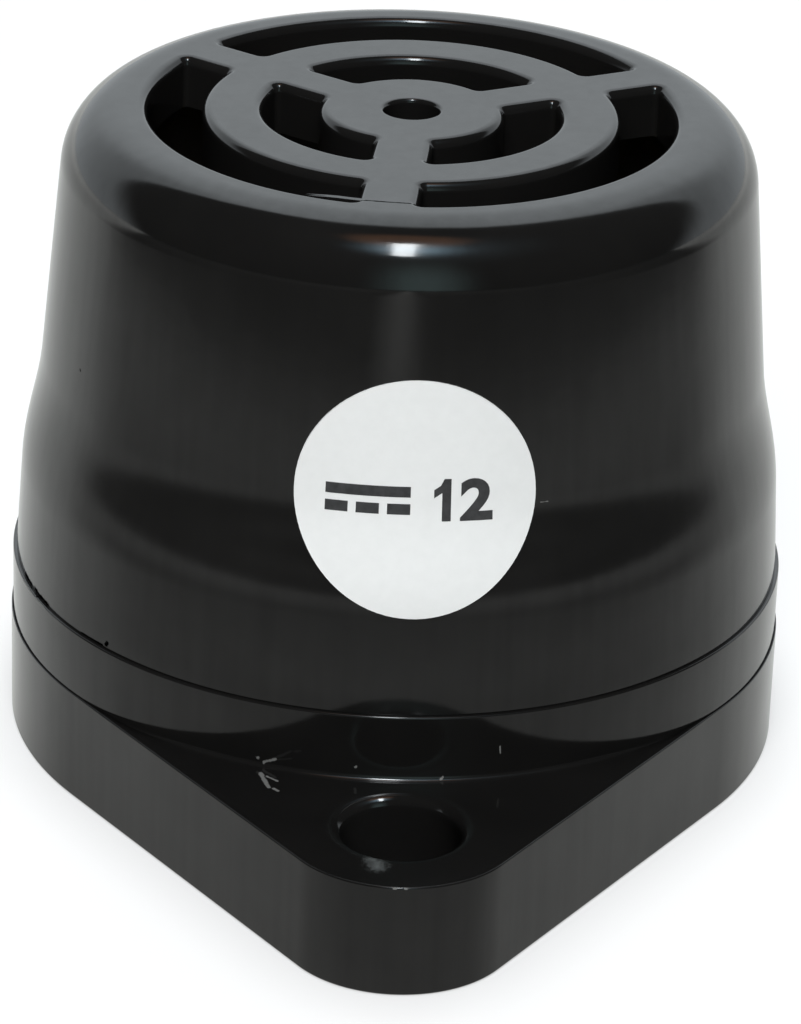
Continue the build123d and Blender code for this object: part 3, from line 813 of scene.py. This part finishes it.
PALE_SCUFFS_AND_PAINTED_GLINTS = (
    # Painted highlights: pale lines along the collar's top edge under the seam's gaps
    (at(-163.8, 21.5, 9.93), at(-159.0, 21.5, 9.93), 0.05),
    (at(-157.5, 21.5, 9.93), at(-153.6, 21.5, 9.93), 0.05),
    # Scuff strokes by the collar's foot on the left ear
    (at(-110.3, 21.55, 6.75), (-7.25, -21.2, 6.3), 0.16),
    ((-7.25, -21.2, 6.3), (-6.85, -22.6, 6.3), 0.17),
    (at(-109.4, 21.55, 6.55), at(-107.6, 21.55, 6.85), 0.12),
    ((-6.95, -21.4, 6.3), (-6.4, -21.9, 6.3), 0.1),
    ((-6.6, -22.7, 6.3), (-6.35, -22.95, 6.3), 0.12),
    # Pale specks
    (at(-96.2, 21.5, 6.95), at(-96.1, 21.5, 7.0), 0.09),
    (at(-84.2, 21.55, 6.4), at(-83.9, 21.55, 6.5), 0.1),
    (at(-75.9, 21.5, 8.1), at(-75.8, 21.5, 7.7), 0.06),
    (at(-69.9, 19.95, 21.3), at(-68.7, 19.95, 21.3), 0.05),
    (at(-133.3, 18.74, 33.87), at(-133.2, 18.74, 33.92), 0.07),
    (at(-129.8, 18.74, 33.9), at(-129.8, 18.74, 33.94), 0.06),
    (at(-118.8, 17.6, 35.4), at(-118.8, 17.6, 35.44), 0.06),
    # Painted glints: two bright dots on the front ear tip's edge
    ((-0.4, -32.82, 6.25), (-0.3, -32.82, 6.25), 0.09),
    ((0.15, -32.82, 6.25), (0.25, -32.82, 6.25), 0.08),
)
# A soft pale patch by the front ear hole's near edge
PALE_PATCH, PALE_PATCH_SOFT = ((-1.4, -30.1, 6.3), (-1.25, -30.7, 6.3), 0.85), 1.2
STROKE_REACH, STROKE_RAGGED = 1.5, 1.2
# Tint and strength of the pale patch, of the pale scuffs, specks and painted glints, and of the dark specks
# and painted shade
MARK_TINTS = (((0.13, 0.14, 0.14), 0.8), ((0.16, 0.16, 0.155), 0.85), ((0.0, 0.0, 0.0), 1.0))
MARK_ROUGHNESS = 0.6

# The housing's plastic
PLASTIC_DARK, PLASTIC_LIGHT = (0.0062, 0.006, 0.0058), (0.0082, 0.0079, 0.0076)
PLASTIC_ROUGHNESS = (0.08, 0.13)
CLOUDY_GLOSS, LINES_GLOSS = (0.43, 0.51), (-0.03, 0.05)
LINES_STRETCH = (1.0, 1.0, 0.03)


def stroke(net, point, ragged, mark, soft=0.45):
    """1 on a mark between two points and 0 off it, with ragged edges. point is in millimetres."""
    start, end, width = mark
    run = Vector(end) - Vector(start)
    from_start = net.vector_math("SUBTRACT", point, start)
    along = net.vector_math("DOT_PRODUCT", from_start, run / run.length_squared)
    share = net.add("Clamp", {"Value": along}).outputs["Result"]
    off = net.vector_math("DISTANCE", from_start, net.vector_math("SCALE", run, share))
    uneven = net.math("MULTIPLY_ADD", ragged, width * STROKE_RAGGED, off)
    return net.smooth(uneven, width * STROKE_REACH, width * (STROKE_REACH - soft))


def housing_material():
    """Glossy black moulded plastic with flow mottle, faint upright tool lines and its small marks, among them
    painted shade in the seam's gaps and painted glints.
    """
    material, net, shader, coordinates = new_material("housing_plastic")
    point = net.vector_math("SCALE", coordinates, 1 / MM)
    ragged = net.noise(coordinates, 5000.0, 3.0)
    # dark holds the specks, the chip and the painted shade of the gaps; pale the scuffs, specks and painted
    # glints
    dark = net.most([stroke(net, point, ragged, mark) for mark in DARK_SPECKS_AND_PAINTED_SHADE])
    pale = net.most([stroke(net, point, ragged, mark) for mark in PALE_SCUFFS_AND_PAINTED_GLINTS])
    pale_patch = stroke(net, point, ragged, PALE_PATCH, PALE_PATCH_SOFT)

    # Colour
    mottle = net.noise(coordinates, 180.0, 5.0)
    colour = net.ramp(mottle, ((0.3, PLASTIC_DARK), (0.7, PLASTIC_LIGHT)))
    for mask, (tint, strength) in zip((pale_patch, pale, dark), MARK_TINTS):
        shown = net.math("MULTIPLY", mask, strength)
        blend = net.add("Mix", {"Factor": shown, "A": colour, "B": (*tint, 1)}, data_type="RGBA")
        colour = blend.outputs["Result"]

    # Gloss
    haze = net.noise(coordinates, 90.0, 6.0, 0.6)
    rough = net.spread(haze, 0.35, 0.7, *PLASTIC_ROUGHNESS)
    cloudy = net.noise(coordinates, 260.0, 4.0, 0.6)
    lines = net.noise(net.vector_math("MULTIPLY", coordinates, LINES_STRETCH), 1400.0, 3.0)
    level = net.math("ADD", net.spread(cloudy, 0.3, 0.7, *CLOUDY_GLOSS),
                     net.spread(lines, 0.3, 0.7, *LINES_GLOSS))
    # No reflection on the dark marks, so their painted shade reads as gaps
    whole = net.math("SUBTRACT", 1.0, dark)

    # Surface
    peel = net.noise(coordinates, 900.0, 2.0)
    swell = net.noise(coordinates, 120.0, 1.0)
    gently = net.bump(swell, 0.25, 0.00006)
    net.set(shader, {
        "Base Color": colour,
        "Roughness": net.math("MULTIPLY_ADD", net.most([dark, pale]), MARK_ROUGHNESS, rough),
        "Specular IOR Level": net.math("MULTIPLY", level, whole),
        "IOR": 1.5,
        "Normal": net.bump(peel, 0.12, 0.00002, gently),
    })
    return material


def label_material():
    """Matte white label stock with a faint fibre."""
    material, net, shader, coordinates = new_material("label_paper")
    fibre = net.noise(coordinates, 1500.0, 5.0, 0.65)
    net.set(shader, {
        "Base Color": net.ramp(fibre, ((0.3, (0.83, 0.835, 0.83)), (0.7, (0.86, 0.865, 0.86)))),
        "Roughness": net.spread(fibre, 0.3, 0.7, 0.55, 0.7),
        "Normal": net.bump(fibre, 0.2, 0.00002),
    })
    return material


def ink_material():
    """Dark grey print, a little uneven where the ink is thin."""
    material, net, shader, coordinates = new_material("label_ink")
    thin = net.noise(coordinates, 2500.0, 3.0)
    net.set(shader, {
        "Base Color": net.ramp(thin, ((0.3, (0.03, 0.03, 0.031)), (0.75, (0.06, 0.06, 0.062)))),
        "Roughness": net.spread(thin, 0.3, 0.7, 0.5, 0.65),
    })
    return material


# Each plain material: dark and light colour, waves of mottle per metre, roughness, metal, depth of its grain
ROUGH_SPREAD = 0.08
PLAIN_MATERIALS = {
    "brass_sheet": ((0.62, 0.42, 0.16), (0.74, 0.53, 0.24), 400.0, 0.3, 1.0),
    "piezo_ceramic": ((0.62, 0.6, 0.55), (0.72, 0.7, 0.64), 700.0, 0.45),
    "soft_adhesive": ((0.7, 0.7, 0.66), (0.8, 0.79, 0.74), 300.0, 0.4),
    "board_laminate": ((0.45, 0.26, 0.1), (0.55, 0.34, 0.15), 600.0, 0.5),
    "steel_wire": ((0.6, 0.6, 0.6), (0.72, 0.72, 0.71), 900.0, 0.3, 1.0),
    "solder": ((0.62, 0.62, 0.63), (0.75, 0.75, 0.76), 1200.0, 0.25, 1.0),
    "ferrite": ((0.03, 0.03, 0.032), (0.06, 0.06, 0.062), 900.0, 0.6),
    "copper_wire": ((0.5, 0.17, 0.07), (0.65, 0.26, 0.11), 1500.0, 0.3, 1.0, 0.0001),
    "component_plastic": ((0.015, 0.015, 0.016), (0.03, 0.03, 0.031), 900.0, 0.55),
    "can_sleeve": ((0.012, 0.02, 0.05), (0.02, 0.03, 0.07), 300.0, 0.35),
    "capacitor_coating": ((0.5, 0.22, 0.05), (0.6, 0.3, 0.08), 500.0, 0.45),
    "resistor_coating": ((0.55, 0.42, 0.26), (0.64, 0.5, 0.32), 700.0, 0.5),
    "red_insulation": ((0.5, 0.02, 0.015), (0.6, 0.03, 0.02), 600.0, 0.45),
    "black_insulation": ((0.015, 0.015, 0.015), (0.03, 0.03, 0.03), 600.0, 0.45),
}
MATERIALS = {"housing_plastic": housing_material(), "label_paper": label_material()}
for name, look in PLAIN_MATERIALS.items():
    MATERIALS[name] = plain_material(name, *look)


# ================================================================ pieces

def dress(piece, material):
    """Give a new piece its material."""
    piece.data.materials.clear()
    piece.data.materials.append(material)


cap = make_cap()
dress(cap, MATERIALS["housing_plastic"])
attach(cap, "root")
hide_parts("cap_housing")

base = make_base()
dress(base, MATERIALS["housing_plastic"])
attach(base, "root")
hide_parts("base_housing")

mark = make_print()
dress(mark, ink_material())
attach(mark, "root")

# The CAD nodes that stay get detailed materials through their slots
for subpart in frame["record"]["subparts"]:
    for slot in frame["nodes"][subpart["node"]].material_slots:
        slot.link = "OBJECT"
        slot.material = MATERIALS[subpart["material_slot"]]


# ================================================================ floor, lights and world

# Floor, in metres: where the pale sheet's front edge lies, how it slants back at the sides, and its fade. For
# all rays but the camera's, the pale sheet and the darker table in front of it paint light and shade on the
# floor.
FLOOR_SIZE, FLOOR_DROP = 3.0, 0.00002
SHEET_EDGE, SHEET_SLANT, SHEET_FADE = -0.004, 0.52, 0.053
SHEET_SLANT_REACH = 0.135
SHEET_ALBEDO = 0.76
SHEET_COLOUR = (1.0, 0.99, 0.95)
# The table in front of the sheet, as (distance from the object, albedo); its albedo rises and falls with
# distance as painted light and shade
TABLE_ALBEDO = ((0.0, 0.34), (0.045, 0.34), (0.052, 0.4), (0.062, 0.28), (0.072, 0.24), (0.085, 0.34),
                (0.1, 0.4), (0.115, 0.37), (0.124, 0.27), (0.134, 0.15), (0.15, 0.08), (0.18, 0.07),
                (0.3, 0.08), (0.4, 0.1))
TABLE_END = 0.5
# Painted light: a pale strip on the table straight ahead
STRIP_ALBEDO, STRIP_SIDE, STRIP_START = 0.36, (0.026, 0.0), (0.118, 0.15)
STRIP_TURN = -0.008
# Where the sheet starts to glow with painted light, and how bright
DISTANT_REACH, DISTANT_GLOW = (0.12, 0.7), 0.55
FLOOR_ALBEDO, FLOOR_GLOW = 0.42, 0.6
# Painted contact shadow: the camera's white floor dims near the object by ambient occlusion
CONTACT_REACH, CONTACT_SHADE = 0.004, 0.45

# Room, with bearings from straight behind the object
BACK_TURN, EDGE_TURN = radians(4), radians(2)
# The back light's upper edge, as (bearing, height) in degrees
BACK_EDGE = ((0, 69), (20, 67), (30, 62), (39, 54), (50, 40),
             (58, 29), (66, 20), (76, 9), (86, -6), (96, -20))
BACK_FADE, BACK_SOFTER, BACK_SOFTNESS = radians(3), (radians(50), radians(76)), 3.5
BACK_CORE = (radians(42), radians(22))
BACK_RISE = (radians(8), radians(34))
BACK_LEVEL, BACK_PEAK = 0.85, 0.55
BACK_CREST, BACK_CREST_RISE = 0.5, (radians(28), radians(62))
BACK_COLOUR = (0.92, 0.99, 1.03)
# Ceiling, haze and veil, as (colour, direction, reach from dark to full, power of the fall)
GLOWS = (((0.9, 0.42, 0.2), (0.0, -0.14, 0.99), (0.26, 0.12), 1.0),
         ((2.7, 4.0, 4.9), (0.01, -0.39, 0.92), (0.38, 0.0), 2.5),
         ((0.22, 0.3, 0.35), (0.16, -0.36, 0.92), (0.62, 0.0), 2.0))
STREAK_COLOUR, STREAK_TURN = (0.46, 0.68, 0.68), radians(4)
STREAK_SIDE, STREAK_TOP = (radians(26), radians(3)), (radians(60), radians(14))
ROOM_LEVEL = 0.03

# What the lamps point at, in metres
LIT_POINT = (0.0, 0.0, 0.02)


def camera_sees(net, seen, mirrored, output):
    """Show one shader to the camera and another to all other rays."""
    ray = net.add("LightPath", {}).outputs["Is Camera Ray"]
    either = net.add("MixShader", {0: ray, 1: mirrored.outputs[0], 2: seen.outputs[0]})
    net.add(output, {"Surface": either.outputs[0]})


def two_shaders(net, first, second):
    """The sum of two shaders."""
    return net.add("AddShader", {0: first.outputs[0], 1: second.outputs[0]})


def make_floor():
    """A floor: white to the camera, with a painted contact shadow; to all else a pale sheet that ends in
    front of the object, graded with painted light and shade.
    """
    mesh = bpy.data.meshes.new("floor")
    signs = ((-1, -1), (1, -1), (1, 1), (-1, 1))
    mesh.from_pydata([(x * FLOOR_SIZE, y * FLOOR_SIZE, 0) for x, y in signs], [], [(0, 1, 2, 3)])
    floor = new_object("floor", mesh)
    floor.location.z = -FLOOR_DROP
    material = bpy.data.materials.new("floor")
    material.use_nodes = True
    material.node_tree.nodes.clear()
    net = Net(material.node_tree)

    place = net.add("TexCoord", {}).outputs["Object"]
    axes = net.add("SeparateXYZ", {0: place}).outputs
    beside = net.math("MINIMUM", net.math("ABSOLUTE", axes["X"]), SHEET_SLANT_REACH)
    reach = net.math("MULTIPLY_ADD", beside, -SHEET_SLANT, axes["Y"])
    on_sheet = net.smooth(reach, SHEET_EDGE - SHEET_FADE, SHEET_EDGE)
    length = net.vector_math("LENGTH", place)
    share = net.math("DIVIDE", length, TABLE_END)
    table = net.ramp(share, [(metres / TABLE_END, (albedo,) * 3) for metres, albedo in TABLE_ALBEDO])
    more = net.math("SUBTRACT", SHEET_ALBEDO, table)
    shade = net.math("MULTIPLY_ADD", on_sheet, more, table)
    ahead = net.math("MULTIPLY", axes["Y"], -1.0)
    off_strip = net.distance(axes["X"], STRIP_TURN)
    strip = net.math("MULTIPLY", net.smooth(off_strip, *STRIP_SIDE), net.smooth(ahead, *STRIP_START))
    shade = net.math("MULTIPLY_ADD", strip, STRIP_ALBEDO, shade)
    graded_floor = net.add("BsdfDiffuse", {"Color": net.vector_math("SCALE", SHEET_COLOUR, shade)})
    # Far off, the sheet glows as bright as the light behind it: painted light
    distant = net.math("MULTIPLY", on_sheet, net.smooth(length, *DISTANT_REACH))
    horizon = net.add("Emission", {"Color": (*SHEET_COLOUR, 1),
                                   "Strength": net.math("MULTIPLY", distant, DISTANT_GLOW)})

    pale = net.add("BsdfDiffuse", {"Color": (FLOOR_ALBEDO,) * 3 + (1,)})
    # Painted contact shadow on the camera's white glow
    contact = net.add("AmbientOcclusion", {"Distance": CONTACT_REACH}, samples=8).outputs["AO"]
    glow = net.add("Emission", {"Strength": net.math("MULTIPLY_ADD", contact, FLOOR_GLOW * CONTACT_SHADE,
                                                     FLOOR_GLOW * (1 - CONTACT_SHADE))})
    camera_sees(net, two_shaders(net, pale, glow), two_shaders(net, graded_floor, horizon),
                "OutputMaterial")
    mesh.materials.append(material)


def make_world():
    """White to the camera. To all else a dim room with a broad cool light behind the object."""
    world = bpy.data.worlds.new("studio")
    world.use_nodes = True
    world.node_tree.nodes.clear()
    net = Net(world.node_tree)
    outward = net.add("TexCoord", {}).outputs["Generated"]
    axes = net.add("SeparateXYZ", {0: outward}).outputs
    height = net.math("ARCSINE", axes["Z"])
    bearing = net.math("ARCTAN2", axes["X"], axes["Y"])

    # The back light's upper edge falls from its middle to its sides
    off_edge = net.distance(bearing, EDGE_TURN)
    share = net.math("DIVIDE", off_edge, pi)
    stops = [(degree / 180, ((edge + 90) / 180,) * 3) for degree, edge in BACK_EDGE]
    edge = net.math("MULTIPLY_ADD", net.ramp(share, stops), pi, -pi / 2)
    over = net.math("SUBTRACT", height, edge)
    softer = net.math("MULTIPLY_ADD", net.smooth(off_edge, *BACK_SOFTER), BACK_SOFTNESS, 1.0)
    lit = net.smooth(net.math("DIVIDE", over, softer), BACK_FADE, -BACK_FADE)
    middle = net.smooth(net.distance(bearing, BACK_TURN), *BACK_CORE)
    upper = net.smooth(height, *BACK_RISE)
    gain = net.math("MULTIPLY_ADD", net.math("MULTIPLY", middle, upper), BACK_PEAK, BACK_LEVEL)
    gain = net.math("MULTIPLY_ADD", net.smooth(height, *BACK_CREST_RISE), BACK_CREST, gain)
    parts = [(BACK_COLOUR, net.math("MULTIPLY", lit, gain))]

    # A warm ceiling, a haze round the glint with a wider veil, and a cool streak straight in front
    for colour, direction, reach, fall in GLOWS:
        near = net.smooth(net.vector_math("DISTANCE", outward, direction), *reach)
        parts.append((colour, net.math("POWER", near, fall)))
    ahead = net.math("MULTIPLY", axes["Y"], -1.0)
    aside = net.distance(net.math("ARCTAN2", axes["X"], ahead), STREAK_TURN)
    across = net.math("POWER", net.smooth(aside, *STREAK_SIDE), 2.0)
    parts.append((STREAK_COLOUR, net.math("MULTIPLY", across, net.smooth(height, *STREAK_TOP))))

    total = (ROOM_LEVEL,) * 3
    for colour, strength in parts:
        total = net.vector_math("ADD", net.vector_math("SCALE", colour, strength), total)
    room, white = net.add("Background", {"Color": total}), net.add("Background", {"Color": (1, 1, 1, 1)})
    camera_sees(net, white, room, "OutputWorld")
    bpy.context.scene.world = world


def area_light(name, azimuth, elevation, distance, size, radiance, colour, glossy=True):
    """A rectangular light aimed at the object. Azimuth 0 is in front, positive to the right, in degrees."""
    light = bpy.data.lights.new(name, "AREA")
    light.shape = "RECTANGLE"
    light.size, light.size_y = size
    light.energy = radiance * size[0] * size[1] * pi
    light.color = colour
    lamp = new_object(name, light)
    a, e = radians(azimuth), radians(elevation)
    away = Vector((sin(a) * cos(e), -cos(a) * cos(e), sin(e)))
    lamp.location = Vector(LIT_POINT) + away * distance
    lamp.rotation_euler = away.to_track_quat("Z", "Y").to_euler()
    lamp.visible_camera = False
    lamp.visible_glossy = glossy


make_floor()
make_world()
area_light("key", azimuth=-6, elevation=42, distance=1.0, size=(0.5, 0.5), radiance=9.9,
           colour=(1.0, 0.98, 0.97), glossy=False)
area_light("glint", azimuth=-3, elevation=66, distance=1.0, size=(0.09, 0.38), radiance=23.5,
           colour=(0.94, 0.98, 1.0))


# ================================================================ camera

# Place in metres, sensor and lens in millimetres, bearing, dip and roll in degrees
CAMERA_PLACE = (-0.006575, -0.238384, 0.124053)
CAMERA_SENSOR, CAMERA_LENS, CAMERA_CLIP = 36.0, 165.08, 0.01
CAMERA_BEARING, CAMERA_DIP, CAMERA_ROLL = -1.62, 25.22, 2.05


def make_camera():
    """The camera at the photograph's viewing angle."""
    data = bpy.data.cameras.new("camera")
    data.sensor_width = CAMERA_SENSOR
    data.lens = CAMERA_LENS
    data.clip_start = CAMERA_CLIP
    camera = new_object("camera", data)
    turn = (Matrix.Rotation(radians(CAMERA_BEARING), 4, "Z")
            @ Matrix.Rotation(radians(90 - CAMERA_DIP), 4, "X")
            @ Matrix.Rotation(radians(CAMERA_ROLL), 4, "Z"))
    camera.matrix_world = Matrix.Translation(CAMERA_PLACE) @ turn
    bpy.context.scene.camera = camera


make_camera()
bpy.context.scene.view_settings.view_transform = "Standard"
